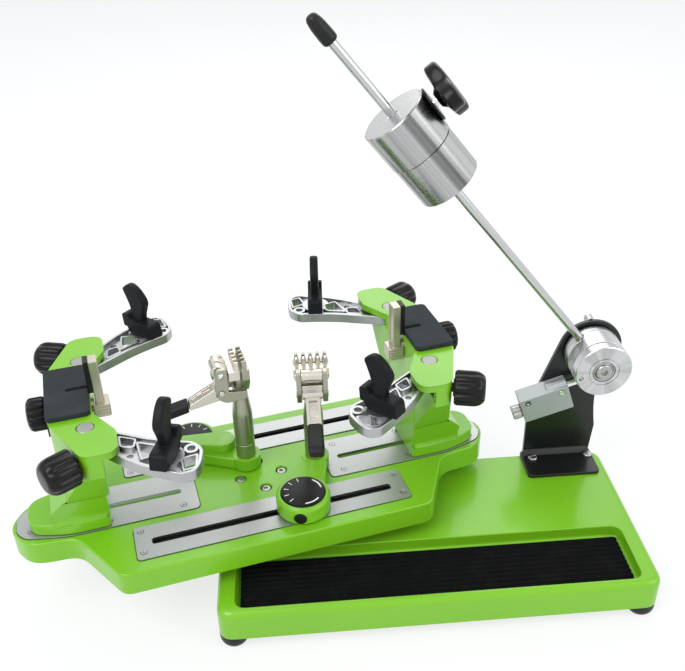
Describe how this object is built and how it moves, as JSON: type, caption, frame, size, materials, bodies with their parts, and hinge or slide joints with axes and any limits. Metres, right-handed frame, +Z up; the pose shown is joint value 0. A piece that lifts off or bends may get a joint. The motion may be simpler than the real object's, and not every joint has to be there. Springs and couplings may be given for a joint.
{
  "type": "racket stringing machine",
  "caption": "Bench racket stringing machine with a sliding-tower turntable, swivelling string clamps and a drop-weight tension lever.",
  "frame": {"origin": "middle of the bounding box at the floor, under the feet", "axes": "+X runs along the base toward the tension post, +Y goes to the back, +Z is up"},
  "size_m": [0.5616, 0.2668, 0.4808],
  "materials": {
    "green_paint": "glossy green powder coat over cast and folded metal",
    "black_paint": "semi-gloss black powder coat over steel plate",
    "black_rubber": "matt black moulded rubber",
    "cast_aluminium": "silver satin aluminium",
    "machined_aluminium": "fine turned and milled aluminium",
    "turned_steel": "bright turned steel with fine lathe lines",
    "chrome_steel": "polished chrome-plated steel",
    "grey_plastic": "dark grey grained plastic",
    "black_plastic": "black moulded plastic",
    "nickel_steel": "warm nickel-plated steel"
  },
  "bodies": {
    "base": {"base_housing": "green_paint", "tray_mat": "black_rubber", "foot_front_left": "black_rubber", "foot_front_right": "black_rubber", "foot_rear_left": "black_rubber", "foot_rear_right": "black_rubber", "bearing_pedestal": "cast_aluminium", "tension_post": "black_paint", "drum_axle": "chrome_steel", "stop_block": "machined_aluminium"},
    "stop_screw": {"stop_knurled_screw": "chrome_steel"},
    "plunger": {"stop_plunger": "chrome_steel"},
    "lever": {"gripper_hub": "machined_aluminium", "lever_rod": "chrome_steel", "lever_grip": "black_rubber"},
    "cheek": {"gripper_cheek": "machined_aluminium"},
    "main_weight": {"main_weight": "turned_steel"},
    "weight_knob": {"weight_knob": "black_plastic"},
    "extra_weight": {"extra_weight": "turned_steel"},
    "turntable": {"table_casting": "green_paint", "table_hub": "machined_aluminium", "front_rail": "cast_aluminium", "rear_rail": "cast_aluminium", "track_plate_left": "cast_aluminium", "track_plate_right": "cast_aluminium"},
    "right_tower": {"right_tower": "green_paint", "right_tower_cover": "grey_plastic"},
    "right_centre_knob": {"right_centre_knob": "black_plastic"},
    "right_end_clamp": {"right_end_clamp": "nickel_steel"},
    "front_right_arm_knob": {"front_right_arm_knob": "black_plastic"},
    "front_right_arm": {"front_right_arm": "cast_aluminium"},
    "front_right_hook": {"front_right_hook": "black_plastic"},
    "rear_right_arm_knob": {"rear_right_arm_knob": "black_plastic"},
    "rear_right_arm": {"rear_right_arm": "cast_aluminium"},
    "rear_right_hook": {"rear_right_hook": "black_plastic"},
    "left_tower": {"left_tower": "green_paint", "left_tower_cover": "grey_plastic"},
    "left_centre_knob": {"left_centre_knob": "black_plastic"},
    "left_end_clamp": {"left_end_clamp": "nickel_steel"},
    "front_left_arm_knob": {"front_left_arm_knob": "black_plastic"},
    "front_left_arm": {"front_left_arm": "cast_aluminium"},
    "front_left_hook": {"front_left_hook": "black_plastic"},
    "rear_left_arm_knob": {"rear_left_arm_knob": "black_plastic"},
    "rear_left_arm": {"rear_left_arm": "cast_aluminium"},
    "rear_left_hook": {"rear_left_hook": "black_plastic"},
    "front_clamp_shoe": {"front_clamp_shoe": "machined_aluminium"},
    "front_clamp_base": {"front_clamp_base": "green_paint"},
    "front_clamp_dial": {"front_clamp_dial": "black_plastic"},
    "front_clamp_jaw": {"front_clamp_jaw": "nickel_steel"},
    "front_clamp_post": {"front_clamp_post": "nickel_steel"},
    "front_clamp_lever": {"front_clamp_lever": "nickel_steel", "front_clamp_grip": "black_rubber"},
    "rear_clamp_shoe": {"rear_clamp_shoe": "machined_aluminium"},
    "rear_clamp_base": {"rear_clamp_base": "green_paint"},
    "rear_clamp_dial": {"rear_clamp_dial": "black_plastic"},
    "rear_clamp_jaw": {"rear_clamp_jaw": "nickel_steel"},
    "rear_clamp_post": {"rear_clamp_post": "nickel_steel"},
    "rear_clamp_lever": {"rear_clamp_lever": "nickel_steel", "rear_clamp_grip": "black_rubber"}
  },
  "joints": [
    {"name": "stop_screw_turn", "type": "hinge", "parent": "base", "child": "stop_screw", "pos_m": [0.21065, 0.0372, 0.11426], "axis": [-0.9472, 0, -0.3206], "range_deg": [-720, 720]},
    {"name": "plunger_slide", "type": "slide", "parent": "base", "child": "plunger", "axis": [0.9472, 0, 0.3206], "range_m": [-0.008, 0]},
    {"name": "lever_drop", "type": "hinge", "parent": "base", "child": "lever", "pos_m": [0.25078, -0.00015, 0.167], "axis": [0, 1, 0], "range_deg": [0, 132]},
    {"name": "cheek_grip", "type": "hinge", "parent": "lever", "child": "cheek", "pos_m": [0.25078, -0.00015, 0.167], "axis": [0, 1, 0], "range_deg": [0, 20]},
    {"name": "main_weight_slide", "type": "slide", "parent": "lever", "child": "main_weight", "axis": [-0.6289, 0, 0.7775], "range_m": [0, 0.07]},
    {"name": "extra_weight_slide", "type": "slide", "parent": "lever", "child": "extra_weight", "axis": [-0.6289, 0, 0.7775], "range_m": [-0.15, 0]},
    {"name": "weight_knob_turn", "type": "hinge", "parent": "main_weight", "child": "weight_knob", "pos_m": [0.06903, 0.03485, 0.39169], "axis": [0.7775, 0, 0.6289], "range_deg": [-720, 0]},
    {"name": "turntable_spin", "type": "hinge", "parent": "base", "child": "turntable", "pos_m": [-0.06472, -0.00015, 0], "axis": [0, 0, 1], "continuous": true},
    {"name": "right_tower_slide", "type": "slide", "parent": "turntable", "child": "right_tower", "axis": [0.9737, 0.2277, 0], "range_m": [-0.03, 0.01]},
    {"name": "right_centre_knob_turn", "type": "hinge", "parent": "right_tower", "child": "right_centre_knob", "pos_m": [0.0755, 0.03264, 0.193], "axis": [0.9737, 0.2277, 0], "range_deg": [0, 1820]},
    {"name": "right_end_clamp_slide", "type": "slide", "parent": "right_tower", "child": "right_end_clamp", "axis": [-0.9737, -0.2277, 0], "range_m": [0, 0.01]},
    {"name": "front_right_arm_knob_turn", "type": "hinge", "parent": "right_tower", "child": "front_right_arm_knob", "pos_m": [0.10076, -0.03848, 0.193], "axis": [0.975, -0.2222, 0], "range_deg": [-870, 870]},
    {"name": "front_right_arm_swing", "type": "hinge", "parent": "right_tower", "child": "front_right_arm", "pos_m": [0.08666, -0.01508, 0.08], "axis": [0, 0, 1], "range_deg": [-8, 8]},
    {"name": "front_right_hook_swivel", "type": "hinge", "parent": "front_right_arm", "child": "front_right_hook", "pos_m": [0.03899, -0.06993, 0.08], "axis": [0, 0, 1], "range_deg": [-90, 90]},
    {"name": "rear_right_arm_knob_turn", "type": "hinge", "parent": "right_tower", "child": "rear_right_arm_knob", "pos_m": [0.06661, 0.10758, 0.193], "axis": [0.7754, 0.6315, 0], "range_deg": [-870, 870]},
    {"name": "rear_right_arm_swing", "type": "hinge", "parent": "right_tower", "child": "rear_right_arm", "pos_m": [0.06435, 0.08035, 0.08], "axis": [0, 0, 1], "range_deg": [-8, 8]},
    {"name": "rear_right_hook_swivel", "type": "hinge", "parent": "rear_right_arm", "child": "rear_right_hook", "pos_m": [-0.00449, 0.10363, 0.08], "axis": [0, 0, 1], "range_deg": [-90, 90]},
    {"name": "left_tower_slide", "type": "slide", "parent": "turntable", "child": "left_tower", "axis": [-0.9737, -0.2277, 0], "range_m": [-0.03, 0.01]},
    {"name": "left_centre_knob_turn", "type": "hinge", "parent": "left_tower", "child": "left_centre_knob", "pos_m": [-0.20201, -0.03225, 0.193], "axis": [-0.9737, -0.2277, 0], "range_deg": [0, 1820]},
    {"name": "left_end_clamp_slide", "type": "slide", "parent": "left_tower", "child": "left_end_clamp", "axis": [0.9737, 0.2277, 0], "range_m": [0, 0.01]},
    {"name": "front_left_arm_knob_turn", "type": "hinge", "parent": "left_tower", "child": "front_left_arm_knob", "pos_m": [-0.19312, -0.10719, 0.193], "axis": [-0.7754, -0.6315, 0], "range_deg": [-870, 870]},
    {"name": "front_left_arm_swing", "type": "hinge", "parent": "left_tower", "child": "front_left_arm", "pos_m": [-0.19086, -0.07996, 0.08], "axis": [0, 0, 1], "range_deg": [-8, 8]},
    {"name": "front_left_hook_swivel", "type": "hinge", "parent": "front_left_arm", "child": "front_left_hook", "pos_m": [-0.12564, -0.11203, 0.08], "axis": [0, 0, 1], "range_deg": [-90, 90]},
    {"name": "rear_left_arm_knob_turn", "type": "hinge", "parent": "left_tower", "child": "rear_left_arm_knob", "pos_m": [-0.22727, 0.03887, 0.193], "axis": [-0.975, 0.2222, 0], "range_deg": [-870, 870]},
    {"name": "rear_left_arm_swing", "type": "hinge", "parent": "left_tower", "child": "rear_left_arm", "pos_m": [-0.21317, 0.01546, 0.08], "axis": [0, 0, 1], "range_deg": [-8, 8]},
    {"name": "rear_left_hook_swivel", "type": "hinge", "parent": "rear_left_arm", "child": "rear_left_hook", "pos_m": [-0.16569, 0.07048, 0.08], "axis": [0, 0, 1], "range_deg": [-90, 90]},
    {"name": "front_clamp_slide", "type": "slide", "parent": "turntable", "child": "front_clamp_shoe", "axis": [0.9737, 0.2277, 0], "range_m": [-0.025, 0.03]},
    {"name": "front_clamp_swivel", "type": "hinge", "parent": "front_clamp_shoe", "child": "front_clamp_base", "pos_m": [-0.02679, -0.04817, 0], "axis": [0, 0, 1], "range_deg": [-20, 20]},
    {"name": "front_clamp_dial_turn", "type": "hinge", "parent": "front_clamp_base", "child": "front_clamp_dial", "pos_m": [-0.02679, -0.04817, 0], "axis": [0, 0, 1], "range_deg": [0, 110]},
    {"name": "front_clamp_post_spin", "type": "hinge", "parent": "front_clamp_base", "child": "front_clamp_post", "pos_m": [-0.0137, 0.00833, 0], "axis": [0, 0, 1], "range_deg": [-60, 60]},
    {"name": "front_clamp_lever_press", "type": "hinge", "parent": "front_clamp_post", "child": "front_clamp_lever", "pos_m": [-0.01365, -0.00967, 0.174], "axis": [1, 0.0028, 0], "range_deg": [0, 45]},
    {"name": "front_clamp_jaw_slide", "type": "slide", "parent": "front_clamp_post", "child": "front_clamp_jaw", "axis": [-0.0028, 1, 0], "range_m": [0, 0.00101]},
    {"name": "rear_clamp_slide", "type": "slide", "parent": "turntable", "child": "rear_clamp_shoe", "axis": [0.9737, 0.2277, 0], "range_m": [-0.03, 0.015]},
    {"name": "rear_clamp_swivel", "type": "hinge", "parent": "rear_clamp_shoe", "child": "rear_clamp_base", "pos_m": [-0.12991, 0.0415, 0], "axis": [0, 0, 1], "range_deg": [-20, 20]},
    {"name": "rear_clamp_dial_turn", "type": "hinge", "parent": "rear_clamp_base", "child": "rear_clamp_dial", "pos_m": [-0.12991, 0.0415, 0], "axis": [0, 0, 1], "range_deg": [0, 110]},
    {"name": "rear_clamp_post_spin", "type": "hinge", "parent": "rear_clamp_base", "child": "rear_clamp_post", "pos_m": [-0.0778, 0.01604, 0], "axis": [0, 0, 1], "range_deg": [-60, 60]},
    {"name": "rear_clamp_lever_press", "type": "hinge", "parent": "rear_clamp_post", "child": "rear_clamp_lever", "pos_m": [-0.09533, 0.01194, 0.174], "axis": [0.2277, -0.9737, 0], "range_deg": [0, 45]},
    {"name": "rear_clamp_jaw_slide", "type": "slide", "parent": "rear_clamp_post", "child": "rear_clamp_jaw", "axis": [0.9737, 0.2277, 0], "range_m": [0, 0.00101]}
  ],
  "couplings": [
    {"joint": "right_centre_knob_turn", "follows": "right_end_clamp_slide", "rad_per_m": 3141.6},
    {"joint": "front_right_arm_swing", "follows": "front_right_arm_knob_turn", "ratio": 0.00919},
    {"joint": "rear_right_arm_swing", "follows": "rear_right_arm_knob_turn", "ratio": 0.00919},
    {"joint": "left_centre_knob_turn", "follows": "left_end_clamp_slide", "rad_per_m": 3141.6},
    {"joint": "front_left_arm_swing", "follows": "front_left_arm_knob_turn", "ratio": 0.00919},
    {"joint": "rear_left_arm_swing", "follows": "rear_left_arm_knob_turn", "ratio": 0.00919},
    {"joint": "front_clamp_jaw_slide", "follows": "front_clamp_lever_press", "m_per_rad": 0.0012732},
    {"joint": "rear_clamp_jaw_slide", "follows": "rear_clamp_lever_press", "m_per_rad": 0.0012732}
  ]
}
